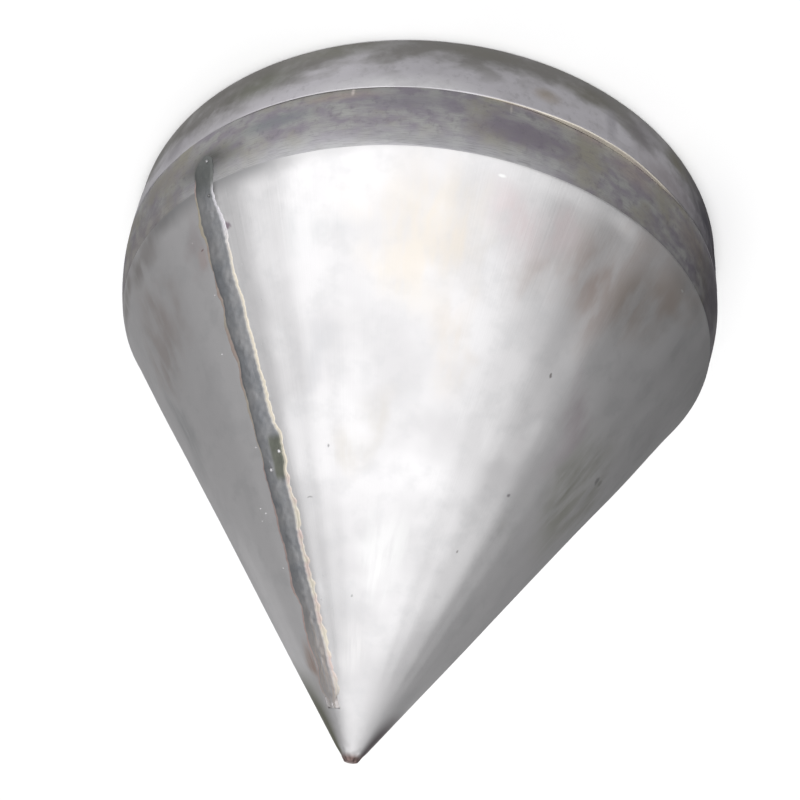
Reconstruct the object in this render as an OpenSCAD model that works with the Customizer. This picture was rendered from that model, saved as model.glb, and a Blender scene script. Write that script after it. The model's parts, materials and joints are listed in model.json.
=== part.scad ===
// Pointed hollow cone mantle, fabricated from rolled steel plate and standing on its rim.
// A rolled cone plate, closed by one straight seam weld and a solid point, sits on a short
// rolled skirt. A crowned hoop stiffens the skirt's rim. The rings are closed by butt welds.

/* [Cone plate] */
// Outside radius of the skirt, and of the cone where it meets the skirt
skirt_r = 288; // [200:1:400]
// Angle between the cone's axis and its side
half_angle = 37.5; // [30:0.5:45]
// Thickness of the rolled cone plate
plate_t = 10; // [8:0.5:16]

/* [Skirt] */
// Height of the skirt that shows between the hoop and the cone
skirt_show_h = 58; // [40:1:90]
// Thickness of the skirt
skirt_t = 10; // [8:0.5:16]

/* [Rim hoop] */
// Height of the hoop round the rim
hoop_h = 46; // [30:1:70]
// Thickness of the hoop at its upper edge, which is the width of its ledge
hoop_t = 7; // [6:0.5:12]
// How much further the hoop's face swells out towards its foot
hoop_crown = 5; // [2:0.5:8]
// Radius of the hoop's upper outer edge
shoulder_r = 4; // [2:0.5:5]
// Radius of the hoop's foot
foot_r = 2.5; // [1:0.5:4]

/* [Point] */
// Radius of the cone where the solid point is welded on
point_r = 30; // [24:1:40]
// Radius of the blunt end of the point
nose_r = 6; // [4:0.5:12]
// Height of the dome on the blunt end
nose_dome = 1.5; // [0.5:0.5:3]

/* [Weld grooves] */
// Gap between plate edges at the root of a seam
root_gap = 3; // [2:0.5:4]
// Included angle of every weld groove
groove_angle = 50; // [45:5:70]
// Depth of the groove weld that holds the point
point_weld_depth = 6; // [3:0.5:8]
// Depth of the groove weld that holds the hoop at the foot of the skirt
rim_weld_depth = 5; // [3:0.5:6]

/* [Seam weld] */
// Direction of the cone's seam round the axis
seam_angle = -49; // [-90:1:90]
// Width of the ground weld cap midway up the seam
cap_mid_w = 23; // [20:0.5:30]
// Width of the ground weld cap at its two ends
cap_end_w = 16; // [14:0.5:20]
// Height of the ground weld cap over the plate
cap_h = 0.8; // [0.4:0.1:1.5]
// How far the cap's edges wander to either side
cap_wander = 1.2; // [0:0.1:2]
// Distance from the top of the cap to the weld round the point
cap_end_gap = 3; // [1:0.5:10]
// Radius of the root bead inside the cone
root_bead_r = 3; // [2:0.5:4]
// Distance from the root bead's lower end to the girth weld
bead_end_gap = 2; // [1:0.5:10]

/* [Ring welds] */
// Height of the weld inside, between the cone and the skirt, to either side of their joint
girth_leg = 8; // [6:0.5:12]
// Depth of the bevel that it fills, along the skirt's inner upper edge
girth_bevel = 5; // [3:0.5:7]
// How far the weld's face bulges
girth_crown = 1; // [0.5:0.5:2]
// Direction of the skirt's closing seam round the axis
skirt_seam_angle = 75; // [45:1:100]
// Direction of the hoop's closing seam round the axis
hoop_seam_angle = 130; // [105:1:160]

/* [Hidden] */
$fn = 180;
bright_steel = [0.80, 0.79, 0.79];
mill_steel = [0.43, 0.42, 0.43];
hoop_steel = [0.55, 0.54, 0.53];
weld_grey = [0.46, 0.47, 0.48];
arc_steps = 6;          // straight steps in each rounded edge of a profile
crown_steps = 8;        // straight steps in the hoop's crowned face
outline_step = 8;       // length of each step along the cap's wandering edge
bead_sides = 24;
over = 2;               // how far cutting tools reach past what they cut

skirt_h = hoop_h + skirt_show_h;
skirt_bore_r = skirt_r - skirt_t;
hoop_edge_r = skirt_r + hoop_t;                         // the hoop's radius at its upper edge
hoop_foot_r = hoop_edge_r + hoop_crown;                 // its widest radius, at its foot
apex_z = skirt_h + skirt_r / tan(half_angle);           // where the cone's sides would meet
point_z = apex_z - point_r / tan(half_angle);           // seat of the point on the plate
nose_z = apex_z - nose_r / tan(half_angle);             // rim of the point's blunt end
plate_cut_w = plate_t / cos(half_angle);                // width of the plate's level cut ends
plate_cut_rise = plate_t * tan(half_angle);             // slope distance lost by a level cut
seam_length = (skirt_r - point_r) / sin(half_angle);
groove_slope = tan(groove_angle / 2);                   // half width gained per depth
point_weld_half_w = point_weld_depth * groove_slope;
cap_length = seam_length - point_weld_half_w - cap_end_gap;

// Direction at angle a, and points on an arc round c from angle a0 to a1, less skip at each end
function ray(a) = [cos(a), sin(a)];
function arc(c, r, a0, a1, steps, skip = 0) =
    [for (i = [skip:steps - skip]) c + r * ray(a0 + (a1 - a0) * i / steps)];

// Half width of the weld cap at distance s along it; the edges differ in phase
function cap_half_w(s, phase) =
    let (from_mid = 2 * s / cap_length - 1)
    cap_mid_w / 2 - (cap_mid_w - cap_end_w) / 2 * from_mid * from_mid
        + cap_wander * (sin(3.1 * s + phase) + 0.6 * sin(7.7 * s + 2 * phase)) / 1.6;

// Section of the rolled cone plate, cut level at both ends
module plate_section() {
    polygon([
        [skirt_r, skirt_h],
        [point_r, point_z],
        [point_r - plate_cut_w, point_z],
        [skirt_r - plate_cut_w, skirt_h]
    ]);
}

// Half section of the solid point, with its blunt, slightly domed end
module point_section() {
    dome_r = (nose_r * nose_r + nose_dome * nose_dome) / (2 * nose_dome);
    dome_half_a = asin(nose_r / dome_r);
    dome_c = [0, nose_z + nose_dome - dome_r];
    polygon(concat(
        [[0, point_z], [point_r, point_z]],
        arc(dome_c, dome_r, 90 - dome_half_a, 90, arc_steps)
    ));
}

module skirt_section() {
    translate([skirt_bore_r, 0]) square([skirt_t, skirt_h]);
}

// Level ledge, rounded shoulder, a face that swells towards its foot, and a rounded foot.
// The shoulder and the foot are tangent to the face.
module hoop_section() {
    crown_r = (hoop_h * hoop_h + hoop_crown * hoop_crown) / (2 * hoop_crown);
    crown_c = [hoop_foot_r - crown_r, 0];
    shoulder_a = asin((hoop_h - shoulder_r) / (crown_r - shoulder_r));
    shoulder_c = crown_c + (crown_r - shoulder_r) * ray(shoulder_a);
    foot_a = asin(foot_r / (crown_r - foot_r));
    foot_c = crown_c + (crown_r - foot_r) * ray(foot_a);
    polygon(concat(
        [[skirt_r, 0]],
        arc(foot_c, foot_r, -90, foot_a, arc_steps),
        arc(crown_c, crown_r, foot_a, shoulder_a, crown_steps, 1),
        arc(shoulder_c, shoulder_r, shoulder_a, 90, arc_steps),
        [[skirt_r, hoop_h]]
    ));
}

// V groove with its mouth at a joint, opening along a direction, with room past its mouth
module groove_section(joint, open, depth) {
    across = [-open[1], open[0]];
    mouth = (depth + over) * groove_slope;
    polygon([
        joint - depth * open,
        joint + over * open + mouth * across,
        joint + over * open - mouth * across
    ]);
}

// Groove round the joint between the plate and the point, on the cone's side
module point_groove_section() {
    groove_section([point_r, point_z], [cos(half_angle), sin(half_angle)], point_weld_depth);
}

// Groove round the foot of the joint between the skirt and the hoop
module foot_groove_section() {
    groove_section([skirt_r, 0], [0, -1], rim_weld_depth);
}

// Weld in the inside corner: it fills the skirt's bevel and runs up the plate's inner face
module girth_section() {
    lip = [skirt_r - plate_cut_w, skirt_h];
    low = [skirt_bore_r, skirt_h - girth_leg];
    high = lip + girth_leg * [-sin(half_angle), cos(half_angle)];
    face = high - low;
    bulge = girth_crown * [-face[1], face[0]] / norm(face);
    polygon([low, [skirt_bore_r + girth_bevel, skirt_h], lip, high, (low + high) / 2 + bulge]);
}

// Rings swept from the sections, with every groove but the closing seam cut
module plate_ring() {
    rotate_extrude() difference() { plate_section(); point_groove_section(); }
}

module skirt_ring() {
    rotate_extrude() difference() { skirt_section(); foot_groove_section(); girth_section(); }
}

module hoop_ring() {
    rotate_extrude() difference() { hoop_section(); foot_groove_section(); }
}

// Stands its children on the seam: X points out of the plate and Z runs up the slope
module on_seam() {
    rotate(seam_angle) translate([skirt_r, 0, skirt_h]) rotate([0, -half_angle, 0]) children();
}

// Plan of a groove through a wall whose outer face is at X = 0
module groove_plan(wall_t) {
    mouth = root_gap / 2 + (wall_t + over) * groove_slope;
    polygon([
        [-wall_t - over, -root_gap / 2],
        [-wall_t, -root_gap / 2],
        [over, -mouth],
        [over, mouth],
        [-wall_t, root_gap / 2],
        [-wall_t - over, root_gap / 2]
    ]);
}

// Groove up the whole slope of the cone plate
module plate_groove() {
    on_seam()
        translate([0, 0, -plate_cut_rise - over])
            linear_extrude(seam_length + 2 * (plate_cut_rise + over)) groove_plan(plate_t);
}

// Groove up a ring whose outer face is at radius r
module ring_groove(r, wall_t, h, angle) {
    rotate(angle)
        translate([r, 0, -over])
            linear_extrude(h + 2 * over) groove_plan(wall_t);
}

module skirt_groove() {
    ring_groove(skirt_r, skirt_t, skirt_h, skirt_seam_angle);
}

module hoop_groove() {
    ring_groove(hoop_foot_r, hoop_t + hoop_crown, hoop_h, hoop_seam_angle);
}

module cone_plate() {
    color(bright_steel) difference() { plate_ring(); plate_groove(); }
}

// Weld that fills the groove, with a ground cap outside and a bead along its root
module seam_weld() {
    color(weld_grey)
        union() {
            intersection() { plate_ring(); plate_groove(); }
            weld_cap();
            root_bead();
        }
}

// Ground cap: a thin skin over the cone's side, cut to the cap's wandering outline
module weld_cap() {
    steps = ceil(cap_length / outline_step);
    along = [for (i = [0:steps]) cap_length * i / steps];
    right = [for (s = along) [s, cap_half_w(s, 0)]];
    left = [for (i = [steps:-1:0]) [along[i], -cap_half_w(along[i], 130)]];
    skin_w = cap_h / cos(half_angle);
    intersection() {
        rotate_extrude()
            polygon([
                [skirt_r, skirt_h],
                [skirt_r + skin_w, skirt_h],
                [point_r + skin_w, point_z],
                [point_r, point_z]
            ]);
        on_seam()
            rotate([0, -90, 0])
                translate([0, 0, -over])
                    linear_extrude(2 * over) polygon(concat(right, left));
    }
}

// Round bead where the weld runs through to the inside of the cone
module root_bead() {
    start = plate_cut_rise + girth_leg + bead_end_gap;
    difference() {
        on_seam()
            translate([-plate_t, 0, start])
                cylinder(h = seam_length - start, r = root_bead_r, $fn = bead_sides);
        difference() { plate_ring(); plate_groove(); }
    }
}

module point() {
    color(bright_steel)
        rotate_extrude() difference() { point_section(); point_groove_section(); }
}

module point_weld() {
    color(weld_grey)
        rotate_extrude()
            intersection() {
                point_groove_section();
                union() { plate_section(); point_section(); }
            }
}

module girth_weld() {
    color(weld_grey) rotate_extrude() difference() { girth_section(); plate_section(); }
}

module skirt_band() {
    color(mill_steel) difference() { skirt_ring(); skirt_groove(); }
}

module skirt_seam() {
    color(weld_grey) intersection() { skirt_ring(); skirt_groove(); }
}

module rim_hoop() {
    color(hoop_steel) difference() { hoop_ring(); hoop_groove(); }
}

module hoop_seam() {
    color(weld_grey) intersection() { hoop_ring(); hoop_groove(); }
}

module rim_weld() {
    color(weld_grey)
        rotate_extrude()
            intersection() {
                foot_groove_section();
                union() { skirt_section(); hoop_section(); }
            }
}

cone_plate();
seam_weld();
point();
point_weld();
girth_weld();
skirt_band();
skirt_seam();
rim_hoop();
hoop_seam();
rim_weld();
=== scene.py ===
"""Looks of the pointed cone mantle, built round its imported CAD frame.

Lengths are in metres and angles in radians, unless a name ends in _mm or _deg or a note says otherwise.
Azimuths turn about +Z from +X, and the slant is the distance up the cone's side from its lower edge.
"""

import json
import math

import bmesh
import bpy
import numpy as np
from mathutils import Matrix, Vector


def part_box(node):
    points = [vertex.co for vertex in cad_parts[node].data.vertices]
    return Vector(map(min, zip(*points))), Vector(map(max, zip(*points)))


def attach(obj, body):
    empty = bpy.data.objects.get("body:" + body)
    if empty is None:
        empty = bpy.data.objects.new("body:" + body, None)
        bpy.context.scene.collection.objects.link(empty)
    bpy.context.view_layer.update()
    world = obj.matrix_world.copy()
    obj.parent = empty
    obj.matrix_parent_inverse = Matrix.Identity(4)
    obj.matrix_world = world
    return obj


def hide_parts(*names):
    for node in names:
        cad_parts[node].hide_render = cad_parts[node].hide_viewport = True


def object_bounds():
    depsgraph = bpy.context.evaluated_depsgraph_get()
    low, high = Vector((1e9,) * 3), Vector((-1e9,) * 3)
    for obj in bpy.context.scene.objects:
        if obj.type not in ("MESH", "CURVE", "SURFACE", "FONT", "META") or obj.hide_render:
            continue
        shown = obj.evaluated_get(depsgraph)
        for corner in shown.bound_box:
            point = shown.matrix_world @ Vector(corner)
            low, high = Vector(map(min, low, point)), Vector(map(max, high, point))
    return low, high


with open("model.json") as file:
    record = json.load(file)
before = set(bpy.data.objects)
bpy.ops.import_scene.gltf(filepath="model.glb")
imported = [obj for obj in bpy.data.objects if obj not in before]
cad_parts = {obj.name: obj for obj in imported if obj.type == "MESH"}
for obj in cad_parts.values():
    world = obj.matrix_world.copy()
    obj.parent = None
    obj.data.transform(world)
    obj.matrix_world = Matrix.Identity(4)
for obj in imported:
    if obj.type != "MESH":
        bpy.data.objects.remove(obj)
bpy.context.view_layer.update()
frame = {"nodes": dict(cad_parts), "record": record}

MM = 0.001
TAU = 2 * math.pi


# ---------------------------------------------------------------- sizes, read from the frame


def radius_of(points):
    return np.hypot(points[:, 0], points[:, 1])


def vertices(node):
    return np.array([v.co for v in frame["nodes"][node].data.vertices], float)


def middle_azimuth(node, below=math.inf):
    """Middle of the azimuths that a node spans, under a given height."""
    points = vertices(node)
    points = points[points[:, 2] < below]
    middle = math.atan2(points[:, 1].mean(), points[:, 0].mean())
    offset = np.angle(np.exp(1j * (np.arctan2(points[:, 1], points[:, 0]) - middle)))
    return middle + (offset.min() + offset.max()) / 2


# The skirt flares down to its foot, which leaves the hoop a thin one, LEDGE_W at its top
SKIRT_FLARE = 7 * MM
LEDGE_W = 3.5 * MM
LEDGE_LOSS = 2.8 * MM          # what the skirt's swell takes of the ledge at the sides
HOOP_RISE = 8 * MM             # how far the hoop runs up past the frame's solid

skirt_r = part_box("skirt_band")[1].x     # where the cone meets the skirt
skirt_foot_r = skirt_r + SKIRT_FLARE
skirt_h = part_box("skirt_band")[1].z
hoop_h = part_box("rim_hoop")[1].z + HOOP_RISE
hoop_foot_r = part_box("rim_hoop")[1].x
point_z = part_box("cone_plate")[1].z
tip_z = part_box("point")[1].z

bore_mount = next(m for m in frame["record"]["mounts"] if m["name"] == "skirt_bore")
bore_r = bore_mount["dims"]["r_mm"] * MM
bore_h = bore_mount["dims"]["length_mm"] * MM
wall_t = skirt_r - bore_r               # the cone plate is as thick as the skirt's upper edge

# The skirt's face above the hoop: one arc that leans in to the cone
flare_h = skirt_h - hoop_h
flare_r = (flare_h**2 + SKIRT_FLARE**2) / (2 * SKIRT_FLARE)
flare_a = math.asin(flare_h / flare_r)

# The cone's half angle, from the points of its outer face well above the skirt
cone_points = vertices("cone_plate")
cone_points = cone_points[cone_points[:, 2] > skirt_h + 50 * MM]
half_angle = np.arctan2(skirt_r - radius_of(cone_points), cone_points[:, 2] - skirt_h).min()
sin_a, cos_a = math.sin(half_angle), math.cos(half_angle)
point_r = skirt_r - (point_z - skirt_h) * math.tan(half_angle)
slant_length = (skirt_r - point_r) / sin_a

# Where the point's straight flank ends in its blunt nose
nose_points = vertices("point")
nose_r = radius_of(nose_points[nose_points[:, 2] > tip_z - 2 * MM]).max()
nose_z = point_z + (point_r - nose_r) / math.tan(half_angle)

seam_az = middle_azimuth("seam_weld", below=skirt_h + 60 * MM)
skirt_seam_az = middle_azimuth("skirt_seam")
hoop_seam_az = middle_azimuth("hoop_seam")

# Sizes of the welds, as in the CAD source
GROOVE_SLOPE = math.tan(math.radians(25))
ROOT_GAP = 3 * MM
ROOT_BEAD_R = 3 * MM
POINT_WELD_DEPTH = 6 * MM
GIRTH_LEG = 8 * MM
GIRTH_BEVEL = 5 * MM
GIRTH_CROWN = 1 * MM
CAP_H = 0.8 * MM

# Smaller here than in the CAD source, since the hoop is thinner
RIM_WELD_DEPTH = 3 * MM
SHOULDER_R = 1.5 * MM
FOOT_R = 1 * MM

STATIONS = 540                 # sections round each of the large shells


# ---------------------------------------------------------------- small tools for shapes


def smooth(x):
    """Smooth step: 0 at 0 and below, 1 at 1 and above."""
    x = np.clip(x, 0, 1)
    return x * x * (3 - 2 * x)


def between(x, start, full, fading, end):
    """0 up to start, 1 from full to fading, and 0 again from end."""
    return smooth((x - start) / (full - start)) * smooth((end - x) / (end - fading))


def curve(stations, at):
    """Smooth curve through a few listed (place, value) stations."""
    places, values = np.array(stations, float).T
    i = np.clip(np.searchsorted(places, at) - 1, 0, len(places) - 2)
    share = smooth((at - places[i]) / (places[i + 1] - places[i]))
    return values[i] * (1 - share) + values[i + 1] * share


def waves(seed, count, turns, wavelength, azimuth, along):
    """Sum of random waves of about unit height, with whole turns round the axis."""
    draw = np.random.RandomState(seed)
    total = 0.0
    for _ in range(count):
        m = draw.randint(turns[0], turns[1] + 1)
        k = TAU / draw.uniform(*wavelength) * draw.choice([-1, 1])
        total = total + np.cos(m * azimuth + k * along + draw.uniform(0, TAU))
    return total * math.sqrt(2 / count)


def wobble(seed, count, wavelength, along):
    """Random waves along one line."""
    return waves(seed, count, (0, 0), wavelength, 0 * along, along)


def loft(name, rings, wrap=False, sharp_deg=35, attributes=()):
    """Closed skin over cross-sections: rings[station, point] are the points of closed loops."""
    stations, points = rings.shape[:2]
    index = np.arange(stations * points).reshape(stations, points)
    if wrap:
        index = np.vstack([index, index[:1]])
    a, b = index[:-1], index[1:]
    faces = np.stack([a, np.roll(a, -1, 1), np.roll(b, -1, 1), b], -1).reshape(-1, 4).tolist()
    if not wrap:
        faces += [index[0].tolist(), index[-1][::-1].tolist()]
    mesh = bpy.data.meshes.new(name)
    mesh.from_pydata(rings.reshape(-1, 3).tolist(), [], faces)
    for label, values in attributes:
        layer = mesh.attributes.new(label, "FLOAT", "POINT")
        layer.data.foreach_set("value", np.asarray(values, np.float32).ravel())
    return finish_mesh(name, mesh, sharp_deg)


def add_object(name, data):
    made = bpy.data.objects.new(name, data)
    bpy.context.scene.collection.objects.link(made)
    return made


def finish_mesh(name, mesh, sharp_deg):
    """Cleans a mesh, shades it smooth between its sharp edges and puts it in the scene."""
    work = bmesh.new()
    work.from_mesh(mesh)
    bmesh.ops.remove_doubles(work, verts=work.verts, dist=1e-6)
    bmesh.ops.recalc_face_normals(work, faces=work.faces)
    work.to_mesh(mesh)
    work.free()
    mesh.polygons.foreach_set("use_smooth", [True] * len(mesh.polygons))
    mesh.set_sharp_from_angle(angle=math.radians(sharp_deg))
    return add_object(name, mesh)


def dress(piece, node, material):
    """Puts a finished piece in the place of its CAD node."""
    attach(piece, "root")
    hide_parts(node)
    piece.data.materials.append(material)


def turned(radii, heights, azimuths):
    """Points of sections turned to their azimuths: [station, point, xyz]."""
    return np.stack([radii * np.cos(azimuths), radii * np.sin(azimuths), heights + 0 * azimuths], -1)


def seam_gap(above_root, at_radius):
    """Half angle of a closing seam's groove, at a height above its root."""
    half_w = ROOT_GAP / 2 + np.clip(above_root, 0, None) * GROOVE_SLOPE
    return np.arcsin(half_w / at_radius)


def round_from(azimuth, gap):
    """Azimuths once round a ring whose closing seam, at azimuth, takes up gap on either side."""
    turn = np.linspace(0, 1, STATIONS + 1)[:, None]
    return azimuth + gap + (TAU - 2 * gap) * turn


def whole_turn(stations):
    """Azimuths once round a ring that has no seam."""
    return np.linspace(0, TAU, stations, endpoint=False)[:, None]


def arc(centre, radius, angles):
    return [(centre[0] + radius * math.cos(a), centre[1] + radius * math.sin(a)) for a in angles]


def spaced(start, end, first, growth, largest):
    """Places from start to end whose steps grow from first to largest."""
    places, step = [start], first
    while abs(end - places[-1]) > 1.5 * step:
        places.append(places[-1] + math.copysign(step, end - start))
        step = min(step * growth, largest)
    return np.array(places + [end])


# ---------------------------------------------------------------- the cone's outer face


CORNER_SHARP = 1.2 * MM       # tangent length of the crisp corner between the cone and the skirt
CORNER_SOFT = 19 * MM         # and of the beaten-over corner on either side of the seam
PEAK_RIGHT = math.radians(3)  # how far the plate's ends were left flat at the seam
PEAK_LEFT = math.radians(2)
PEAK_REACH = 0.13             # angle from the seam over which the plate comes back to round


def from_seam(azimuth):
    """Signed angle from the cone's seam; the side away from +X is negative."""
    return np.angle(np.exp(1j * (azimuth - seam_az)))


def corner_length(azimuth):
    """Tangent length of the rounded corner at the cone's lower edge."""
    away_deg = np.degrees(from_seam(azimuth))
    return CORNER_SHARP + (CORNER_SOFT - CORNER_SHARP) * between(away_deg, -38, -14, 35, 60)


def face_depth(azimuth, slant, radius):
    """How far the rolled face lies inside or outside the true cone."""
    away = from_seam(azimuth)
    angle = np.abs(away)
    peak = np.where(away < 0, PEAK_RIGHT, PEAK_LEFT)
    flats = -radius * peak * angle * np.exp(-angle / PEAK_REACH)
    rolled = 0.16 * MM * waves(11, 9, (22, 46), (0.9, 2.5), azimuth, slant) * radius / skirt_r
    beaten = 0.35 * MM * waves(5, 10, (3, 10), (0.12, 0.45), azimuth, slant) * radius / skirt_r
    ends = smooth(slant / (14 * MM)) * smooth((slant_length - 6 * MM - slant) / (40 * MM))
    return (flats * smooth(0.25 + slant / (30 * MM)) + rolled + beaten) * ends


def swell(azimuth, height):
    """How far the skirt, and the hoop's inner edge with it, stands out where the ledge thins."""
    azimuth_deg = np.degrees(np.angle(np.exp(1j * azimuth)))
    left = between(azimuth_deg, -112, -82, -15, 10)
    right = between(azimuth_deg, -180, -168, -133, -121)
    rise = np.where(height < hoop_h, height / hoop_h, smooth((skirt_h - height) / (skirt_h - hoop_h)))
    return LEDGE_LOSS * np.maximum(left, right) * np.clip(rise, 0, 1)


def profile(along):
    """Radius, height and tilt of the outer face: up the cone where along is positive, else down the skirt."""
    turn = flare_a + along / flare_r     # angle on the flare's arc, under 0 behind the hoop
    lean = np.clip(turn, 0, None)
    skirt_radius = skirt_foot_r - flare_r * (1 - np.cos(lean))
    skirt_height = hoop_h + flare_r * np.where(turn > 0, np.sin(lean), turn)
    radius = np.where(along > 0, skirt_r - along * sin_a, skirt_radius)
    height = np.where(along > 0, skirt_h + along * cos_a, skirt_height)
    return radius, height, np.where(along > 0, half_angle, lean)


def outer_face(azimuth, along, lift=0.0):
    """Point on the outer face, whose corner between the cone and the skirt is rounded over corner_length."""
    radius, height, tilt = profile(along)
    reach = corner_length(azimuth)
    share = np.clip((along + reach) / (2 * reach), 0, 1)
    above_r, above_h, above_tilt = profile(reach)
    below_r, below_h, below_tilt = profile(-reach)
    bent = np.abs(along) < reach
    low, middle, high = (1 - share) ** 2, 2 * share * (1 - share), share**2
    radius = np.where(bent, low * below_r + middle * skirt_r + high * above_r, radius)
    height = np.where(bent, low * below_h + middle * skirt_h + high * above_h, height)
    tilt = np.where(bent, below_tilt + (above_tilt - below_tilt) * share, tilt)
    out = lift + np.where(along > 0, face_depth(azimuth, along, radius), swell(azimuth, height))
    radius, height = radius + out * np.cos(tilt), height + out * np.sin(tilt)
    return np.stack([radius * np.cos(azimuth), radius * np.sin(azimuth), height], -1)


# ---------------------------------------------------------------- pieces


def groove_lips():
    """Section points of the groove round the point: lower lip, root, seat and upper lip."""
    reach = POINT_WELD_DEPTH * GROOVE_SLOPE
    lower = (point_r + reach * sin_a, point_z - reach * cos_a)
    upper = (point_r - reach * sin_a, point_z + reach * cos_a)
    root = (point_r - POINT_WELD_DEPTH * cos_a, point_z - POINT_WELD_DEPTH * sin_a)
    steep = math.tan(math.pi / 2 - half_angle + math.atan(GROOVE_SLOPE))
    seat = (root[0] + (point_z - root[1]) / abs(steep), point_z)
    return lower, root, seat, upper


def make_cone_shell():
    """The cone's plate: its outer face, the groove's wall and seat for the point, and its inner face."""
    lower, root, seat, _ = groove_lips()
    lip_slant = (skirt_r - lower[0]) / sin_a
    rows = spaced(0.0, lip_slant, 0.5 * MM, 1.2, 4 * MM)
    cut_w = wall_t / cos_a
    inner_h = np.linspace(point_z, skirt_h, 24)
    inner_r = point_r - cut_w + (point_z - inner_h) * math.tan(half_angle)

    def spread(radius, above_root):
        return round_from(seam_az, seam_gap(above_root, radius))

    outer_r = skirt_r - rows * sin_a
    outer = outer_face(spread(outer_r[None], wall_t), rows[None])
    end_r, end_h = np.array([root, seat]).T
    ends = turned(end_r[None], end_h[None], spread(end_r[None], wall_t - POINT_WELD_DEPTH))
    inner = turned(inner_r[None], inner_h[None], spread(inner_r[None], 0.0))
    return loft("cone_shell", np.concatenate([outer, ends, inner], 1))


# Half widths of the ground strip, in mm at places up the seam in mm: away from +X, and towards it
STRIP_RIGHT = [(-30, 6), (-14, 8), (0, 8.5), (60, 9.5), (150, 9.5), (192, 10.5), (203, 14), (221, 13.5),
               (230, 10.5), (320, 7.5), (381, 7.5), (414, 7)]
STRIP_LEFT = [(-30, 5), (-14, 9), (0, 11), (60, 10.5), (150, 9), (241, 9), (321, 9), (350, 7.5),
              (381, 6.5), (414, 6.5)]
# Widths of the bright toe along each of its edges
TOE_RIGHT = [(-30, 0.5), (18, 0.6), (34, 2.2), (60, 1.2), (120, 1.6), (190, 2.4), (212, 0.8), (235, 2.4),
             (260, 3.4), (330, 3.6), (400, 2.5), (440, 0.4)]
TOE_LEFT = [(-30, 0.5), (0, 2.2), (36, 3.6), (66, 1.4), (96, 3.4), (120, 3.8), (170, 2.6), (210, 1.2),
            (300, 2.4), (400, 1.6), (440, 0.4)]
# Places across the strip's flat top, as shares of the way from its middle to its bevels
STRIP_ROWS = [-0.98, -0.8, -0.6, -0.4, -0.2, 0, 0.2, 0.4, 0.6, 0.8, 0.98]
STRIP_BEVEL = 0.9 * MM
TOE_H = 0.22 * MM              # how far a toe stands out of the plate's face
TOE_EDGE_H = 0.10 * MM
TOE_SUNK = 0.12 * MM           # how far its far edge lies under the face
SHEATH = 1 * MM                # how far the groove's metal stays under the face


def strip_edges(along, fade):
    """Half widths of the strip to its right and left, and the widths of its right and left toe."""
    mm = along / MM
    full = MM * (0.35 + 0.65 * fade)
    toe_full = MM * (0.2 + 0.8 * fade)
    right_fray = 0.22 * wobble(3, 6, (4, 12), mm) + 0.6 * wobble(4, 5, (24, 70), mm)
    left_fray = 0.16 * wobble(7, 6, (4, 12), mm) + 0.6 * wobble(8, 5, (24, 70), mm)
    right = (curve(STRIP_RIGHT, mm) + right_fray) * full
    left = (curve(STRIP_LEFT, mm) + left_fray) * full
    right_toe = curve(TOE_RIGHT, mm) * (1 + 0.22 * wobble(9, 6, (9, 60), mm)) * toe_full
    left_toe = curve(TOE_LEFT, mm) * (1 + 0.18 * wobble(10, 6, (14, 60), mm)) * toe_full
    return right, left, right_toe, left_toe


def strip_face(along, fade):
    """Rows over the plate, from the right toe's far edge to the left's: place across, height and band."""
    right, left, right_toe, left_toe = strip_edges(along, fade)
    flush = 0 * along
    rows = [(-right - right_toe, flush - TOE_SUNK, 0.0),
            (-right - 0.85 * right_toe, TOE_EDGE_H * fade, 0.15),
            (-right - 0.35 * right_toe, TOE_H * fade, 0.6),
            (-right, TOE_H * fade, 1.0)]
    for k, share in enumerate(STRIP_ROWS):
        half_w = np.where(share < 0, right, left) - STRIP_BEVEL
        ripple = 0.09 * MM * wobble(20 + k, 6, (4, 22), along / MM) * (1 - abs(share) ** 4)
        rows.append((share * half_w, CAP_H * fade * (1 - 0.12 * share * share) + ripple, 2.0 + share))
    rows += [(left, TOE_H * fade, 4.0),
             (left + 0.35 * left_toe, TOE_H * fade, 4.4),
             (left + 0.85 * left_toe, TOE_EDGE_H * fade, 4.85),
             (left + left_toe, flush - TOE_SUNK, 5.0)]
    return (np.stack([row[part] + flush for row in rows], 1) for part in range(3))


def strip_root(along):
    """Rows under the plate's face: place across and height of the groove's metal and of the root's bead."""
    ripple_l = 5.5 * MM
    inside = smooth((along - 2 * MM) / (1 * MM))
    cover = SHEATH * (1 - inside)      # over the skirt's wall, which has no groove
    rippled = 1 + 0.12 * np.cos(TAU * along / ripple_l)
    bead_r = ROOT_BEAD_R * smooth((along - 22 * MM) / (6 * MM)) * rippled
    mouth = ROOT_GAP / 2 + (wall_t - SHEATH) * GROOVE_SLOPE
    left_wall = [(mouth + 0 * along, -SHEATH + 0 * along),
                 (ROOT_GAP / 2 + 0 * along, -wall_t * inside - cover)]
    rows = list(left_wall)
    for turn in np.linspace(0.12, 0.88, 9) * math.pi:
        reach = np.maximum(bead_r, ROOT_GAP / 2)
        rows.append((reach * np.cos(turn), -(wall_t + bead_r * np.sin(turn)) * inside - cover))
    rows += [(-across, height) for across, height in reversed(left_wall)]
    return (np.stack(part, 1) for part in zip(*rows))


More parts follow.
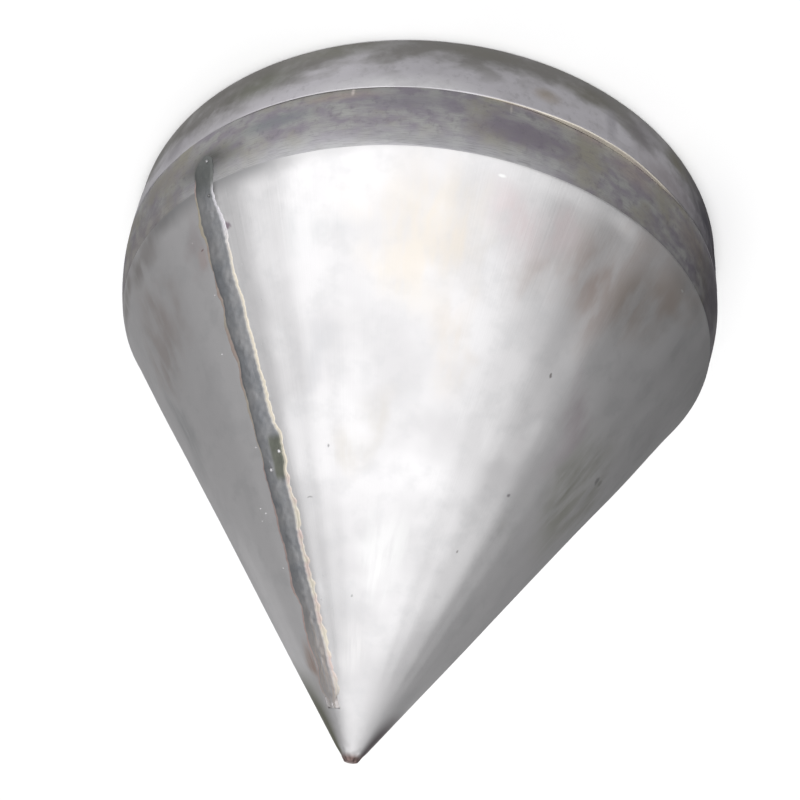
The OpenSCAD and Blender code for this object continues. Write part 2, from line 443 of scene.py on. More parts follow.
def make_seam_strip():
    """The seam weld: a strip ground over the plate, V metal in the groove, and the root's bead inside."""
    start = -28 * MM                   # down on the skirt
    end = slant_length - 3 * MM        # just short of the point
    along = np.linspace(start, end, 321)
    fade = smooth((end - 5 * MM - along) / (9 * MM)) * smooth((along - start) / (7 * MM))
    across, height, band = strip_face(along, fade)
    side, depth = strip_root(along)
    surface = profile(along)[0][:, None]
    over = outer_face(seam_az + across / surface, along[:, None] + 0 * across, lift=height)
    under = outer_face(seam_az + side / surface, along[:, None] + 0 * side, lift=depth)
    bands = np.concatenate([band, np.full(side.shape, 2.0)], 1)
    rings = np.concatenate([over, under], 1)
    return loft("seam_strip", rings, sharp_deg=50, attributes=[("band", bands)])


def make_point():
    """The solid end of the cone: seat, groove wall, flank and dented dome."""
    _, _, seat, upper = groove_lips()
    rows = np.linspace(0, 1, 40)
    flank_r = upper[0] + (nose_r - upper[0]) * rows
    flank_h = upper[1] + (nose_z - upper[1]) * rows
    dome = np.linspace(0, 1, 9)[1:] * math.pi / 2
    dome_r = nose_r * np.cos(dome)
    dome_h = nose_z + (tip_z - nose_z) * np.sin(dome)
    turn = whole_turn(160)
    radii = np.concatenate([flank_r, dome_r, [0.0], [seat[0]]])
    heights = np.concatenate([flank_h, dome_h, [point_z], [point_z]])
    worn_h = 14 * MM               # length of flank over which the dents come in
    wear = smooth((heights - nose_z + worn_h) / worn_h) * (heights < tip_z - 0.2 * MM) * (radii > 0)
    dents = -0.35 * MM * (1 + waves(31, 7, (2, 9), (0.006, 0.03), turn, heights[None])) * wear
    return loft("point_cone", turned(radii[None] + np.minimum(dents, 0), heights[None], turn), wrap=True)


def make_point_ring():
    """Weld that fills the groove between the plate and the point, ground flush."""
    lower, root, _, upper = groove_lips()
    middle = [(a + b) / 2 for a, b in zip(lower, upper)]
    section = np.array([lower, middle, upper, root])
    return loft("point_ring", turned(section[None, :, 0], section[None, :, 1], whole_turn(240)), wrap=True)


def make_skirt_shell():
    """The skirt: its flared, slightly sunken face, its foot and its bore."""
    hidden_h = 4 * MM              # how far the fine face goes on down behind the hoop
    lowest = flare_r * flare_a + hidden_h
    down = spaced(0.0, -lowest, 0.5 * MM, 1.2, 3 * MM)

    def spread(radius):
        return round_from(skirt_seam_az, seam_gap(radius - bore_r, radius))

    around = spread(profile(down)[0][None])
    shown = smooth(-down / (12 * MM)) * smooth((lowest + down) / (10 * MM))
    sag = -0.22 * MM * (1.6 + waves(41, 9, (4, 16), (0.05, 0.2), around, down[None])) * shown
    outer = outer_face(around, down[None] + 0 * around, lift=np.minimum(sag, 0))
    foot_w = RIM_WELD_DEPTH * GROOVE_SLOPE
    foot = [(skirt_foot_r, RIM_WELD_DEPTH), (skirt_foot_r - foot_w, 0)]
    bore = [(bore_r, 0), (bore_r, bore_h / 2), (bore_r, bore_h), (bore_r + GIRTH_BEVEL, skirt_h)]
    rest = np.array(foot + bore)
    hidden = turned(rest[None, :, 0], rest[None, :, 1], spread(rest[None, :, 0]))
    return loft("skirt_shell", np.concatenate([outer, hidden], 1))


def hoop_section():
    """Ledge, rounded shoulder, crowned face and rounded foot, from the skirt's wall round to it again."""
    crown = hoop_foot_r - skirt_foot_r - LEDGE_W
    crown_r = (hoop_h**2 + crown**2) / (2 * crown)
    centre = (hoop_foot_r - crown_r, 0.0)
    top = math.asin((hoop_h - SHOULDER_R) / (crown_r - SHOULDER_R))
    low = math.asin(FOOT_R / (crown_r - FOOT_R))
    shoulder = arc(centre, crown_r - SHOULDER_R, [top])[0]
    foot = arc(centre, crown_r - FOOT_R, [low])[0]
    section = [(skirt_foot_r, hoop_h)]
    section += arc(shoulder, SHOULDER_R, np.linspace(math.pi / 2, top, 9))
    section += arc(centre, crown_r, np.linspace(top, low, 18)[1:-1])
    section += arc(foot, FOOT_R, np.linspace(low, -math.pi / 2, 8))
    foot_w = RIM_WELD_DEPTH * GROOVE_SLOPE
    section += [(skirt_foot_r + foot_w, 0), (skirt_foot_r, RIM_WELD_DEPTH)]
    return np.array(section)


def make_hoop_shell():
    """The ring round the rim, a little beaten on its face and nicked along its ledge."""
    section = hoop_section()
    around = round_from(hoop_seam_az, seam_gap(hoop_foot_r - skirt_foot_r, hoop_foot_r))
    radii, heights = section[None, :, 0], section[None, :, 1]
    out = radii - skirt_foot_r
    face = smooth((out - 1 * MM) / (2 * MM)) * smooth((heights - 2 * MM) / (6 * MM))
    beaten = -0.3 * MM * (1.4 + waves(51, 10, (5, 24), (0.03, 0.12), around, heights)) * face
    on_ledge = smooth((heights - hoop_h + 1 * MM) / (1 * MM)) * smooth(out / (1 * MM))
    deep = smooth((waves(52, 12, (20, 90), (0.05, 0.2), around, heights) - 1.7) / 0.8)
    nicks = -0.5 * MM * deep * on_ledge
    inner = swell(around, heights) * smooth((LEDGE_W - out) / LEDGE_W)
    return loft("hoop_shell", turned(radii + np.minimum(beaten, 0) + inner, heights + nicks, around))


def hoop_face_r(heights):
    """Radius of the hoop's face at some heights."""
    section = hoop_section()
    face = section[section[:, 0] > skirt_foot_r + 1 * MM]
    order = np.argsort(face[:, 1])
    return np.interp(heights, face[order, 1], face[order, 0])


def skirt_face_r(heights):
    """Radius of the skirt's face at some heights."""
    lean = np.arcsin(np.clip(heights - hoop_h, 0, None) / flare_r)
    return skirt_foot_r - flare_r * (1 - np.cos(lean))


def make_closing_weld(name, azimuth, face_r, root_r, high):
    """Butt weld up a ring, ground flush, with a trace of its ripples left.

    face_r gives the radius of the ring's face at a height, and root_r is that of its inner wall.
    """
    ripple_l = 5 * MM
    rows = np.linspace(0.0, high, 60)
    face = face_r(rows)
    ripple = -0.12 * MM * (1 + np.cos(TAU * rows / ripple_l))
    rings = []
    for side in np.linspace(-1, 1, 9):
        radii = face + ripple * (1 - side * side)
        rings.append(turned(radii, rows, azimuth + side * seam_gap(face - root_r, face)))
    for side in (1, -1):
        root_az = azimuth + side * seam_gap(0.0, root_r)
        rings.append(turned(root_r + 0 * rows, rows, root_az + 0 * rows))
    return loft(name, np.stack(rings, 1))


def make_girth_bead():
    """Fillet inside, between the cone and the skirt, in overlapping ripples."""
    ripple_stations = 6            # sections to a ripple
    ripple_h = 0.35 * MM
    stations = 900
    cut_r = skirt_r - wall_t / cos_a
    low = np.array([bore_r, bore_h])
    high = np.array([cut_r - GIRTH_LEG * sin_a, skirt_h + GIRTH_LEG * cos_a])
    turn = whole_turn(stations)
    share = np.linspace(0, 1, 9)[None]
    hump = np.sin(share * math.pi)
    phase = stations / ripple_stations * turn + 2.5 * (share - 0.5) ** 2
    proud = GIRTH_CROWN * hump + ripple_h * hump * (np.cos(phase) - 1)
    out = np.array([-(high - low)[1], (high - low)[0]]) / np.linalg.norm(high - low)
    points = low + (high - low) * share[..., None] + proud[..., None] * out
    back = np.broadcast_to([(cut_r, skirt_h), (bore_r + GIRTH_BEVEL, skirt_h)], (stations, 2, 2))
    section = np.concatenate([points, back], 1)
    return loft("girth_bead", turned(section[..., 0], section[..., 1], turn), wrap=True, sharp_deg=60)


def make_rim_bead():
    """Weld that fills the groove under the hoop's and the skirt's foot."""
    ripple_stations = 5            # sections to a ripple
    ripple_h = 0.3 * MM
    stations = 900
    half_w = RIM_WELD_DEPTH * GROOVE_SLOPE
    turn = whole_turn(stations)
    share = np.linspace(-1, 1, 7)
    phase = stations / ripple_stations * turn + 2 * share**2
    ripples = ripple_h * (1 - share**2) * (1 + np.cos(phase)) / 2
    radii = np.concatenate([skirt_foot_r + half_w * share, [skirt_foot_r]])[None] + 0 * turn
    heights = np.concatenate([ripples, np.full((stations, 1), RIM_WELD_DEPTH)], 1)
    return loft("rim_bead", turned(radii, heights, turn), wrap=True, sharp_deg=60)


def make_spatter(material):
    """Beads of weld metal that stayed on the seam and beside it."""
    # The four that stand out: mm up the seam, mm across it, and size
    drops = [(214, -10, 1.7), (227, 1.5, 1.5), (9, -3, 1.3), (-20, -4, 1.5)]
    on_strip = 12                  # half width in mm within which a drop sits on the strip
    draw = np.random.RandomState(61)
    for _ in range(16):
        up = draw.uniform(20, 400)
        across = draw.choice([-1, 1]) * draw.uniform(13, 30)
        drops.append((up, across, draw.uniform(0.35, 0.7)))
    work = bmesh.new()
    for up, across, size in drops:
        along = up * MM
        surface = skirt_r - max(along, 0) * sin_a
        azimuth = seam_az + across * MM / surface
        lift = CAP_H if abs(across) < on_strip else 0.0
        spot = Vector(outer_face(np.float64(azimuth), np.float64(along), lift=lift))
        for v in bmesh.ops.create_icosphere(work, subdivisions=2, radius=size * MM)["verts"]:
            v.co = spot + v.co * (1 + 0.12 * math.sin(900 * v.co.x + 700 * v.co.z + up))
    mesh = bpy.data.meshes.new("weld_spatter")
    work.to_mesh(mesh)
    work.free()
    mesh.polygons.foreach_set("use_smooth", [True] * len(mesh.polygons))
    mesh.materials.append(material)
    piece = add_object("weld_spatter", mesh)
    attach(piece, "root")


# ---------------------------------------------------------------- materials


class Graph:
    """A tree of shader nodes, with one short method for each kind used here."""

    def __init__(self, tree):
        self.tree = tree

    def node(self, kind, **settings):
        """Adds a node with the given settings."""
        made = self.tree.nodes.new(kind)
        for key, value in settings.items():
            setattr(made, key, value)
        return made

    def put(self, socket, value):
        """Links a socket to another node's output, or sets it to a plain value; None leaves it alone."""
        if isinstance(value, bpy.types.NodeSocket):
            self.tree.links.new(value, socket)
        elif value is not None:
            socket.default_value = value

    def math(self, kind, a, b):
        made = self.node("ShaderNodeMath", operation=kind)
        self.put(made.inputs[0], a)
        self.put(made.inputs[1], b)
        return made.outputs[0]

    def vector(self, kind, a, b=None):
        made = self.node("ShaderNodeVectorMath", operation=kind)
        self.put(made.inputs[0], a)
        self.put(made.inputs[1], b)
        return made.outputs

    def split(self, vector):
        made = self.node("ShaderNodeSeparateXYZ")
        self.put(made.inputs[0], vector)
        return made.outputs

    def join(self, x, y, x_scale=1.0, y_scale=1.0):
        """Vector of two coordinates, each of them scaled."""
        made = self.node("ShaderNodeCombineXYZ")
        for socket, value, scale in zip(made.inputs, (x, y), (x_scale, y_scale)):
            self.put(socket, value if scale == 1.0 else self.math("MULTIPLY", value, scale))
        return made.outputs[0]

    def noise(self, vector, scale, detail, roughness=0.55, distortion=0.0):
        made = self.node("ShaderNodeTexNoise")
        self.put(made.inputs["Vector"], vector)
        made.inputs["Scale"].default_value = scale
        made.inputs["Detail"].default_value = detail
        made.inputs["Roughness"].default_value = roughness
        made.inputs["Distortion"].default_value = distortion
        return made.outputs["Fac"]

    def step(self, value, low, high, to_low=0.0, to_high=1.0):
        """Smooth change from to_low to to_high as value goes from low to high."""
        made = self.node("ShaderNodeMapRange", interpolation_type="SMOOTHSTEP")
        for socket, given in zip(made.inputs, (value, low, high, to_low, to_high)):
            self.put(socket, given)
        return made.outputs[0]

    def mix(self, share, a, b):
        """Colour a where share is 0, and b where it is 1."""
        made = self.node("ShaderNodeMix", data_type="RGBA")
        self.put(made.inputs[0], share)
        for socket, value in ((made.inputs[6], a), (made.inputs[7], b)):
            self.put(socket, value if isinstance(value, bpy.types.NodeSocket) else (*value, 1.0))
        return made.outputs[2]

    def both(self, a, b):
        return self.math("MULTIPLY", a, b)

    def span(self, value, low, high, soft):
        """1 between low and high, fading over soft on either side."""
        return self.both(self.step(value, low - soft, low), self.step(value, high, high + soft, 1.0, 0.0))

    def spot(self, plane, centre, half_size, sharp):
        """1 inside an ellipse on a plane, fading to 0 between a share sharp of its size and its edge."""
        offset = self.vector("SUBTRACT", plane, (*centre, 0))[0]
        scaled = self.vector("MULTIPLY", offset, (1 / half_size[0], 1 / half_size[1], 0))[0]
        return self.step(self.vector("LENGTH", scaled)["Value"], sharp, 1.0, 1.0, 0.0)

    def tinted(self, colour, share, strength, tint):
        """Colour with a tint laid over it, as strong as share times strength."""
        return self.mix(self.both(share, strength), colour, tint)

    def marked(self, colour, plane, laid_marks, broken):
        """Colour with each mark of a list laid over it in turn, be it a stain or painted light; all of them
        are broken up alike.
        """
        for middle, half_size, tint, strength in laid_marks:
            share = self.both(self.spot(plane, middle, half_size, 0.1), broken)
            colour = self.tinted(colour, share, strength, tint)
        return colour

    def bump(self, height, strength, distance, after=None):
        made = self.node("ShaderNodeBump")
        self.put(made.inputs["Height"], height)
        made.inputs["Strength"].default_value = strength
        made.inputs["Distance"].default_value = distance
        self.put(made.inputs["Normal"], after)
        return made.outputs[0]


class Steel(Graph):
    """A bare metal. Its marks go by azimuth, in degrees, and by height or slant, in mm."""

    def __init__(self, name):
        self.material = bpy.data.materials.new(name)
        self.material.use_nodes = True
        super().__init__(self.material.node_tree)
        self.place = self.node("ShaderNodeTexCoord").outputs["Object"]
        x, y, z = self.split(self.place)
        self.azimuth = self.math("MULTIPLY", self.math("ARCTAN2", y, x), math.degrees(1))
        self.height = self.math("MULTIPLY", z, 1 / MM)
        self.slant = self.math("MULTIPLY", self.math("SUBTRACT", z, skirt_h), 1 / (cos_a * MM))

    def finish(self, colour, roughness, normal):
        shader = self.tree.nodes["Principled BSDF"]
        shader.inputs["Metallic"].default_value = 1.0
        self.put(shader.inputs["Base Color"], colour)
        self.put(shader.inputs["Roughness"], roughness)
        self.put(shader.inputs["Normal"], normal)
        return self.material


# Stains and painted light of the cone: middle (azimuth in degrees, mm up the slant), half size (likewise),
# colour, strength
# The pale patches at -86 and -72 are painted highlight along the brightest line, and the dark ones at -147,
# -24 and -12 are painted shade on the flanks
CONE_STAINS_AND_PAINTED_LIGHT = [
    ((-85, 62), (14, 72), (0.80, 0.74, 0.66), 0.75),
    ((-96, 125), (9, 60), (0.76, 0.71, 0.66), 0.70),
    ((-119, 52), (16, 66), (0.57, 0.49, 0.46), 0.90),
    ((-103, 30), (14, 34), (0.76, 0.68, 0.69), 1.00),
    ((-131, 34), (9, 44), (0.56, 0.48, 0.43), 0.75),
    ((-147, 190), (22, 90), (0.43, 0.43, 0.37), 0.75),
    ((-128, 150), (9, 66), (0.56, 0.50, 0.53), 0.70),
    ((-116, 182), (7, 26), (0.90, 0.89, 0.90), 0.80),
    ((-70, 45), (6, 26), (0.62, 0.63, 0.64), 0.55),
    ((-65, 150), (6, 44), (0.64, 0.64, 0.66), 0.55),
    ((-78, 205), (6, 34), (0.68, 0.65, 0.61), 0.55),
    ((-86, 300), (14, 60), (0.88, 0.88, 0.88), 0.70),
    ((-72, 380), (14, 30), (0.88, 0.87, 0.87), 0.60),
    ((-36, 388), (10, 26), (0.50, 0.38, 0.33), 0.95),
    ((-24, 70), (14, 66), (0.54, 0.48, 0.46), 0.70),
    ((-12, 150), (12, 70), (0.50, 0.51, 0.52), 0.75),
    ((-24, 4), (26, 22), (0.46, 0.43, 0.42), 0.90),
    ((-46, 34), (5, 40), (0.60, 0.54, 0.55), 0.60),
]
# Marks of the cone that keep their outline, written the same way. The first three are painted shade on the
# point's two sides, where it turns away; the last two of them are one mark, written again on the far side of
# the azimuth of 180.
CONE_SPECKS_AND_PAINTED_SHADE = [
    ((-3, 440), (46, 74), (0.13, 0.13, 0.09), 1.0),
    ((-163, 452), (46, 50), (0.15, 0.12, 0.13), 0.9),
    ((197, 452), (46, 50), (0.15, 0.12, 0.13), 0.9),
    ((-152.6, 160), (1.6, 4), (0.26, 0.25, 0.25), 0.6),
    ((-155.6, 158), (1.8, 4), (0.34, 0.33, 0.31), 0.5),
    ((-49.9, 4), (2.3, 18), (0.18, 0.18, 0.18), 0.9),
    ((-52.0, 36), (0.7, 4), (0.30, 0.22, 0.28), 0.8),
    ((-117.5, 128), (0.35, 2.5), (0.20, 0.18, 0.18), 0.8),
    ((-123, 221), (0.9, 2.0), (0.22, 0.20, 0.22), 0.7),
    ((-115.6, 277), (0.6, 1.6), (0.25, 0.23, 0.23), 0.7),
    ((-68, 213), (0.5, 1.6), (0.24, 0.24, 0.25), 0.7),
    ((-60, 251), (1.5, 0.9), (0.30, 0.30, 0.30), 0.6),
    ((-75, 328), (0.9, 1.4), (0.30, 0.30, 0.30), 0.6),
    ((-44.8, 43), (0.6, 1.3), (0.20, 0.10, 0.12), 0.9),
    ((-96.7, 12), (0.8, 1.6), (0.95, 0.95, 0.95), 0.9),
    ((-133.8, 10), (0.6, 1.4), (0.85, 0.84, 0.82), 0.9),
    ((-44.5, 50), (2.2, 13), (0.66, 0.54, 0.52), 0.5),
]


def bright_plate():
    """The cone's rolled plate: bright and clouded, with soft stain patches and painted light that drift and
    marks that don't, and painted shade on its left flank, by the seam's corner and on its point.
    """
    g = Steel("bright_plate")
    columns = g.noise(g.join(g.azimuth, g.slant, 0.25, 0.02), 1.0, 3.0, 0.5)
    cloud = g.noise(g.place, 13.0, 3.0, 0.5)
    mottle = g.noise(g.place, 46.0, 3.0, 0.6)
    ragged = g.join(g.math("ADD", g.azimuth, g.step(mottle, 0.3, 0.7, -0.5, 0.5)),
                    g.math("ADD", g.slant, g.step(mottle, 0.3, 0.7, 2.0, -2.0)))
    drifted = g.join(g.math("ADD", g.azimuth, g.step(cloud, 0.3, 0.7, -6.0, 6.0)),
                     g.math("ADD", g.slant, g.step(cloud, 0.3, 0.7, -14.0, 14.0)))
    colour = g.mix(g.step(cloud, 0.36, 0.66), (0.81, 0.80, 0.81), (0.72, 0.71, 0.72))
    colour = g.tinted(colour, g.step(mottle, 0.45, 0.68), 0.35, (0.64, 0.64, 0.65))
    colour = g.marked(colour, drifted, CONE_STAINS_AND_PAINTED_LIGHT, g.step(columns, 0.36, 0.60, 0.30, 1.0))
    # Painted shade: the plate from the seam round to the azimuth of 30 degrees a little darker
    left_flank_shade = g.span(g.azimuth, math.degrees(seam_az), 30.0, 1.0)
    colour = g.tinted(colour, left_flank_shade, 0.1, (0.56, 0.54, 0.56))
    # Painted shade at the foot of the cone either side of the seam, where its corner is rounded over
    corner_shade = g.both(g.step(g.slant, 17.0, -3.0), g.span(g.azimuth, -59.0, -38.0, 9.0))
    colour = g.tinted(colour, corner_shade, 0.8, (0.36, 0.36, 0.37))
    for middle, half_size, tint, strength in CONE_SPECKS_AND_PAINTED_SHADE:
        colour = g.tinted(colour, g.spot(ragged, middle, half_size, 0.3), strength, tint)
    # Painted shade: the nose goes dark brown over its last few mm
    tip = g.step(g.height, tip_z / MM - 8, tip_z / MM - 3)
    colour = g.mix(tip, colour, (0.22, 0.16, 0.15))
    rough = g.step(cloud, 0.3, 0.7, 0.38, 0.47)
    streak = g.noise(g.join(g.azimuth, g.slant, 3.0, 0.01), 1.0, 3.0)
    grain = g.noise(g.place, 420.0, 3.0, 0.7)
    normal = g.bump(grain, 0.10, 0.0002, g.bump(streak, 0.12, 0.0006))
    return g.finish(colour, rough, normal)


# Stains of the skirt: middle (azimuth in degrees, mm above the foot), half size (likewise), colour, strength
SKIRT_STAINS = [
    ((-98, 78), (12, 16), (0.24, 0.20, 0.26), 0.65),
    ((-117, 66), (7, 16), (0.46, 0.38, 0.36), 0.60),
    ((-133, 74), (9, 20), (0.36, 0.30, 0.27), 0.60),
    ((-145, 80), (12, 50), (0.20, 0.18, 0.21), 0.85),
    ((-82, 68), (10, 14), (0.30, 0.28, 0.33), 0.55),
    ((-62, 72), (9, 10), (0.26, 0.29, 0.31), 0.65),
    ((-50, 86), (9, 20), (0.19, 0.19, 0.17), 0.95),
    ((-50, 92), (4, 24), (0.13, 0.13, 0.13), 0.90),
    ((-26, 98), (22, 14), (0.50, 0.47, 0.45), 0.70),
    ((-72, 60), (9, 6), (0.52, 0.43, 0.40), 0.50),
    ((-38, 70), (10, 18), (0.36, 0.33, 0.31), 0.55),
    ((-73.7, 57), (0.4, 5), (0.88, 0.80, 0.76), 0.80),
    ((-96, 59), (0.3, 7), (0.78, 0.74, 0.70), 0.60),
]


def skirt_plate():
    """The skirt's dull plate, mottled violet and olive, with fine lines round it and a painted sheen under
    its upper edge.
    """
    g = Steel("skirt_plate")
    mottle = g.noise(g.join(g.azimuth, g.height, 0.30, 0.10), 1.0, 4.0, 0.52, 0.2)
    cloud = g.noise(g.place, 24.0, 4.0, 0.6)
    speckle = g.noise(g.place, 170.0, 3.0, 0.7)
    colour = g.mix(g.step(mottle, 0.34, 0.66), (0.36, 0.33, 0.38), (0.49, 0.49, 0.48))
    colour = g.mix(g.step(cloud, 0.44, 0.70), colour, (0.42, 0.40, 0.34))
    colour = g.mix(g.step(speckle, 0.52, 0.72, 0.0, 0.4), colour, (0.22, 0.20, 0.23))
    unrolled = g.join(g.azimuth, g.height)
    colour = g.marked(colour, unrolled, SKIRT_STAINS, g.step(mottle, 0.25, 0.6, 0.6, 1.0))
    # Painted sheen: the skirt paler under its upper edge, between azimuths -98 and -50
    skirt_sheen = g.both(g.step(g.height, 84.0, 103.0), g.span(g.azimuth, -98.0, -50.0, 14.0))
    colour = g.tinted(colour, skirt_sheen, 0.7, (0.64, 0.64, 0.66))
    lines = g.noise(g.join(g.azimuth, g.height, 0.4, 2.0), 1.0, 3.0)
    colour = g.tinted(colour, g.step(lines, 0.48, 0.66), 0.5, (0.30, 0.29, 0.31))
    rough = g.step(mottle, 0.3, 0.7, 0.48, 0.60)
    return g.finish(colour, rough, g.bump(lines, 0.18, 0.0004))


# Stains and painted light of the hoop, written as the skirt's
# The pale patch at (-80, 54) is a painted highlight above the ledge, the near-black one at -142 is painted
# shade where the hoop turns away, and the dark ones low down add painted shade at the foot
HOOP_STAINS_AND_PAINTED_LIGHT = [
    ((-50, 18), (25, 44), (0.21, 0.20, 0.19), 0.95),
    ((-58, 22), (9, 22), (0.20, 0.21, 0.16), 0.60),
    ((-80, 54), (17, 20), (0.92, 0.91, 0.93), 0.95),
    ((-70, 6), (12, 12), (0.24, 0.24, 0.20), 0.60),
    ((-92, 8), (10, 10), (0.26, 0.25, 0.22), 0.55),
    ((-108, 14), (7, 12), (0.22, 0.21, 0.17), 0.65),
    ((-119, 18), (6, 26), (0.28, 0.26, 0.28), 0.60),
    ((-128, 12), (5, 12), (0.26, 0.24, 0.17), 0.65),
    ((-126, 46), (13, 26), (0.40, 0.36, 0.38), 0.70),
    ((-142, 30), (18, 60), (0.10, 0.09, 0.12), 1.00),
    ((-101, 36), (3, 10), (0.44, 0.36, 0.26), 0.50),
    ((-112, 30), (1.6, 26), (0.30, 0.29, 0.32), 0.60),
    ((-40, 40), (8, 16), (0.34, 0.32, 0.36), 0.50),
]


def hoop_plate():
    """The hoop: a painted sheen under the ledge, painted shade towards the foot, and a painted highlight
    along the ledge.
    """
    g = Steel("hoop_plate")
    mottle = g.noise(g.join(g.azimuth, g.height, 0.16, 0.05), 1.0, 4.0, 0.50, 0.1)
    fine = g.noise(g.place, 60.0, 4.0, 0.6)
    speckle = g.noise(g.place, 170.0, 3.0, 0.7)
    # Painted light by height: a pale sheen under the ledge that turns to painted shade towards the foot,
    # broken up by the mottle
    sheen_to_foot_shade = g.math("ADD", g.step(g.height, 46.0, 2.0), g.step(mottle, 0.3, 0.7, -0.35, 0.35))
    colour = g.mix(g.step(sheen_to_foot_shade, 0.0, 1.1), (0.68, 0.66, 0.70), (0.30, 0.29, 0.28))
    colour = g.mix(g.step(fine, 0.46, 0.78, 0.0, 0.22), colour, (0.34, 0.33, 0.31))
    colour = g.mix(g.step(speckle, 0.52, 0.72, 0.0, 0.2), colour, (0.22, 0.21, 0.22))
    unrolled = g.join(g.azimuth, g.height)
    colour = g.marked(colour, unrolled, HOOP_STAINS_AND_PAINTED_LIGHT, g.step(fine, 0.3, 0.6, 0.6, 1.0))
    # Painted highlight along the top of the ledge: pale grey, and cream between azimuths -123 and -95
    ledge = g.step(g.height, hoop_h / MM - 0.8, hoop_h / MM - 0.2)
    ledge_glint = g.span(g.azimuth, -123.0, -95.0, 5.0)
    colour = g.mix(ledge, colour, g.mix(ledge_glint, (0.62, 0.61, 0.63), (0.86, 0.80, 0.70)))
    rough = g.step(mottle, 0.3, 0.7, 0.42, 0.55)
    return g.finish(colour, rough, g.bump(mottle, 0.15, 0.0006))


def weld_metal():
    """Plain weld metal, as laid."""
    g = Steel("weld_metal")
    fine = g.noise(g.place, 260.0, 4.0, 0.65)
    patch = g.noise(g.place, 45.0, 4.0, 0.6)
    colour = g.mix(g.step(patch, 0.35, 0.68), (0.26, 0.27, 0.29), (0.34, 0.34, 0.35))
    rough = g.step(fine, 0.3, 0.7, 0.42, 0.60)
    return g.finish(colour, rough, g.bump(fine, 0.3, 0.0004))


def strip_metal():
    """The ground strip, with straw, pink and pale heat tints on its toes; band tells the places across it."""
    g = Steel("strip_metal")
    band = g.node("ShaderNodeAttribute", attribute_name="band").outputs["Fac"]
    fine = g.noise(g.place, 260.0, 4.0, 0.65)
    patch = g.noise(g.place, 45.0, 4.0, 0.6)
    patches = g.step(patch, 0.4, 0.6)
    streaks = g.noise(g.join(band, g.slant, 9.0, 0.03), 1.0, 3.0)

    # The strip itself: scorched in one place, dark over the skirt and paler towards the point
    colour = g.mix(g.step(patch, 0.35, 0.68), (0.29, 0.30, 0.32), (0.40, 0.40, 0.41))
    colour = g.tinted(colour, g.step(streaks, 0.55, 0.72), 0.5, (0.46, 0.45, 0.46))
    scorched = g.both(g.span(band, 1.0, 1.7, 0.3), g.span(g.slant, 206.0, 232.0, 8.0))
    colour = g.tinted(colour, scorched, 0.7, (0.15, 0.16, 0.11))
    colour = g.tinted(colour, g.step(g.slant, 16.0, -8.0), 0.75, (0.15, 0.16, 0.15))
    tanned = g.mix(g.step(streaks, 0.4, 0.6), (0.58, 0.52, 0.48), (0.48, 0.48, 0.50))
    colour = g.mix(g.step(g.slant, 310.0, 385.0), colour, tanned)
    colour = g.mix(g.step(g.slant, 408.0, 432.0), colour, (0.72, 0.70, 0.70))

    # Its toes
    fading = g.step(g.slant, 370.0, 425.0, 0.9, 0.1)
    right_toe = g.both(g.span(band, 0.15, 0.95, 0.12), g.step(g.slant, -4.0, 8.0))
    cream = g.mix(g.step(g.slant, 30.0, 70.0), (0.80, 0.78, 0.82), (0.86, 0.79, 0.66))
    rosy = g.mix(patches, (0.80, 0.66, 0.62), (0.86, 0.80, 0.68))
    cream = g.mix(g.span(g.slant, 240.0, 420.0, 12.0), cream, rosy)
    colour = g.tinted(colour, right_toe, fading, cream)
    left_toe = g.both(g.span(band, 4.1, 4.85, 0.12), g.step(g.slant, -16.0, -4.0))
    pink = g.mix(g.span(g.slant, 8.0, 40.0, 8.0), (0.74, 0.58, 0.55), (0.84, 0.76, 0.62))
    straw = g.mix(patches, (0.76, 0.62, 0.56), (0.82, 0.75, 0.64))
    pink = g.mix(g.span(g.slant, 60.0, 210.0, 20.0), pink, straw)
    colour = g.tinted(colour, left_toe, fading, pink)
    rough = g.step(fine, 0.3, 0.7, 0.40, 0.55)
    return g.finish(colour, rough, g.bump(fine, 0.25, 0.0004))


# ---------------------------------------------------------------- stage, light and camera


FLOOR_R = 160.0
FLOOR_GAP = 0.2 * MM           # under the object's foot


def make_floor():
    """Plain pale disc, wide enough to fill the picture."""
    work = bmesh.new()
    bmesh.ops.create_circle(work, cap_ends=True, segments=96, radius=FLOOR_R)
    mesh = bpy.data.meshes.new("floor")
    work.to_mesh(mesh)
    work.free()
    paint = bpy.data.materials.new("pale_floor")
    paint.use_nodes = True
    shader = paint.node_tree.nodes["Principled BSDF"]
    shader.inputs["Base Color"].default_value = (0.86, 0.86, 0.86, 1)
    shader.inputs["Roughness"].default_value = 0.9
    mesh.materials.append(paint)
    floor = add_object("floor", mesh)
    floor.location.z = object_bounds()[0].z - FLOOR_GAP
    floor.visible_glossy = False


# Soft lights of the studio's dome: direction, cosines of the outer and inner edge, strength
DOME_BASE = 0.09
DOME_LIGHTS = [
    ((0.27, -0.76, 0.60), 0.60, 0.82, 1.58),
    ((-0.64, -0.43, 0.63), 0.85, 0.99, 0.95),
    ((-0.44, 0.48, 0.76), 0.52, 0.61, 0.26),
    ((0.93, 0.11, -0.34), 0.44, 0.54, 0.30),
    ((0.10, -0.60, -0.79), 0.15, 0.60, 0.52),
    ((0.10, 0.80, 0.59), 0.64, 0.98, 0.90),
]


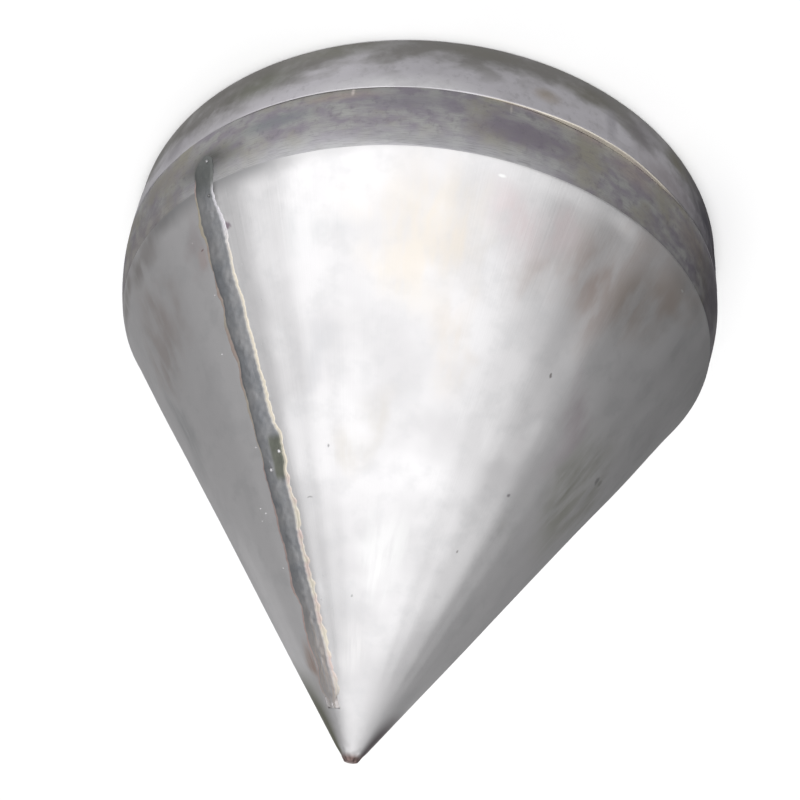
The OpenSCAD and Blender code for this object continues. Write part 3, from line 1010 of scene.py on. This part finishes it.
def make_world():
    """Soft dome of light round the object; the camera itself sees a plain white backdrop."""
    world = bpy.data.worlds.new("studio")
    bpy.context.scene.world = world
    world.use_nodes = True
    g = Graph(world.node_tree)
    g.tree.nodes.clear()
    towards = g.node("ShaderNodeTexCoord").outputs["Generated"]
    glow = DOME_BASE
    for direction, outer, inner, strength in DOME_LIGHTS:
        facing = g.vector("DOT_PRODUCT", towards, Vector(direction).normalized())["Value"]
        glow = g.math("ADD", g.step(facing, outer, inner, 0.0, strength), glow)
    dome = g.node("ShaderNodeBackground")
    g.put(dome.inputs["Strength"], glow)
    backdrop = g.node("ShaderNodeBackground")
    backdrop.inputs["Color"].default_value = (0.97, 0.97, 0.97, 1.0)
    pick = g.node("ShaderNodeMixShader")
    g.put(pick.inputs[0], g.node("ShaderNodeLightPath").outputs["Is Camera Ray"])
    g.put(pick.inputs[1], dome.outputs[0])
    g.put(pick.inputs[2], backdrop.outputs[0])
    g.put(g.node("ShaderNodeOutputWorld").inputs[0], pick.outputs[0])


def make_overhead_light():
    """Even light from straight above for the floor; the steel mirrors the dome alone."""
    light = bpy.data.lights.new("overhead", "SUN")
    light.angle = math.radians(20)
    light.energy = 1.5
    add_object("overhead", light).visible_glossy = False


def make_camera():
    """Looks along +Y and down at the cone, turned so that its point hangs to the bottom of the picture."""
    camera = bpy.data.cameras.new("camera")
    camera.lens = 33.48
    camera.sensor_width = 36.0
    camera.shift_x = 0.0721
    camera.shift_y = 0.0607
    camera.clip_end = 1000.0
    down, roll = math.radians(29.06), math.radians(-170.41)
    turn = Matrix.Rotation(math.pi / 2 - down, 4, "X") @ Matrix.Rotation(roll, 4, "Z")
    holder = add_object("camera", camera)
    holder.matrix_world = Matrix.Translation((0.04799, -0.63429, 0.54525)) @ turn
    bpy.context.scene.camera = holder


# ---------------------------------------------------------------- the whole object


def make_object():
    """Every piece of the object, in the place of its CAD node."""
    plate, strip, weld = bright_plate(), strip_metal(), weld_metal()
    skirt, hoop = skirt_plate(), hoop_plate()
    dress(make_cone_shell(), "cone_plate", plate)
    dress(make_seam_strip(), "seam_weld", strip)
    dress(make_point(), "point", plate)
    dress(make_point_ring(), "point_weld", plate)
    dress(make_skirt_shell(), "skirt_band", skirt)
    dress(make_hoop_shell(), "rim_hoop", hoop)
    dress(make_girth_bead(), "girth_weld", weld)
    dress(make_rim_bead(), "rim_weld", weld)
    dress(make_closing_weld("skirt_closing_weld", skirt_seam_az, skirt_face_r, bore_r, skirt_h),
          "skirt_seam", weld)
    dress(make_closing_weld("hoop_closing_weld", hoop_seam_az, hoop_face_r, skirt_foot_r, hoop_h),
          "hoop_seam", weld)
    make_spatter(plate)


make_object()
make_floor()
make_world()
make_overhead_light()
make_camera()
bpy.context.scene.view_settings.view_transform = "Standard"
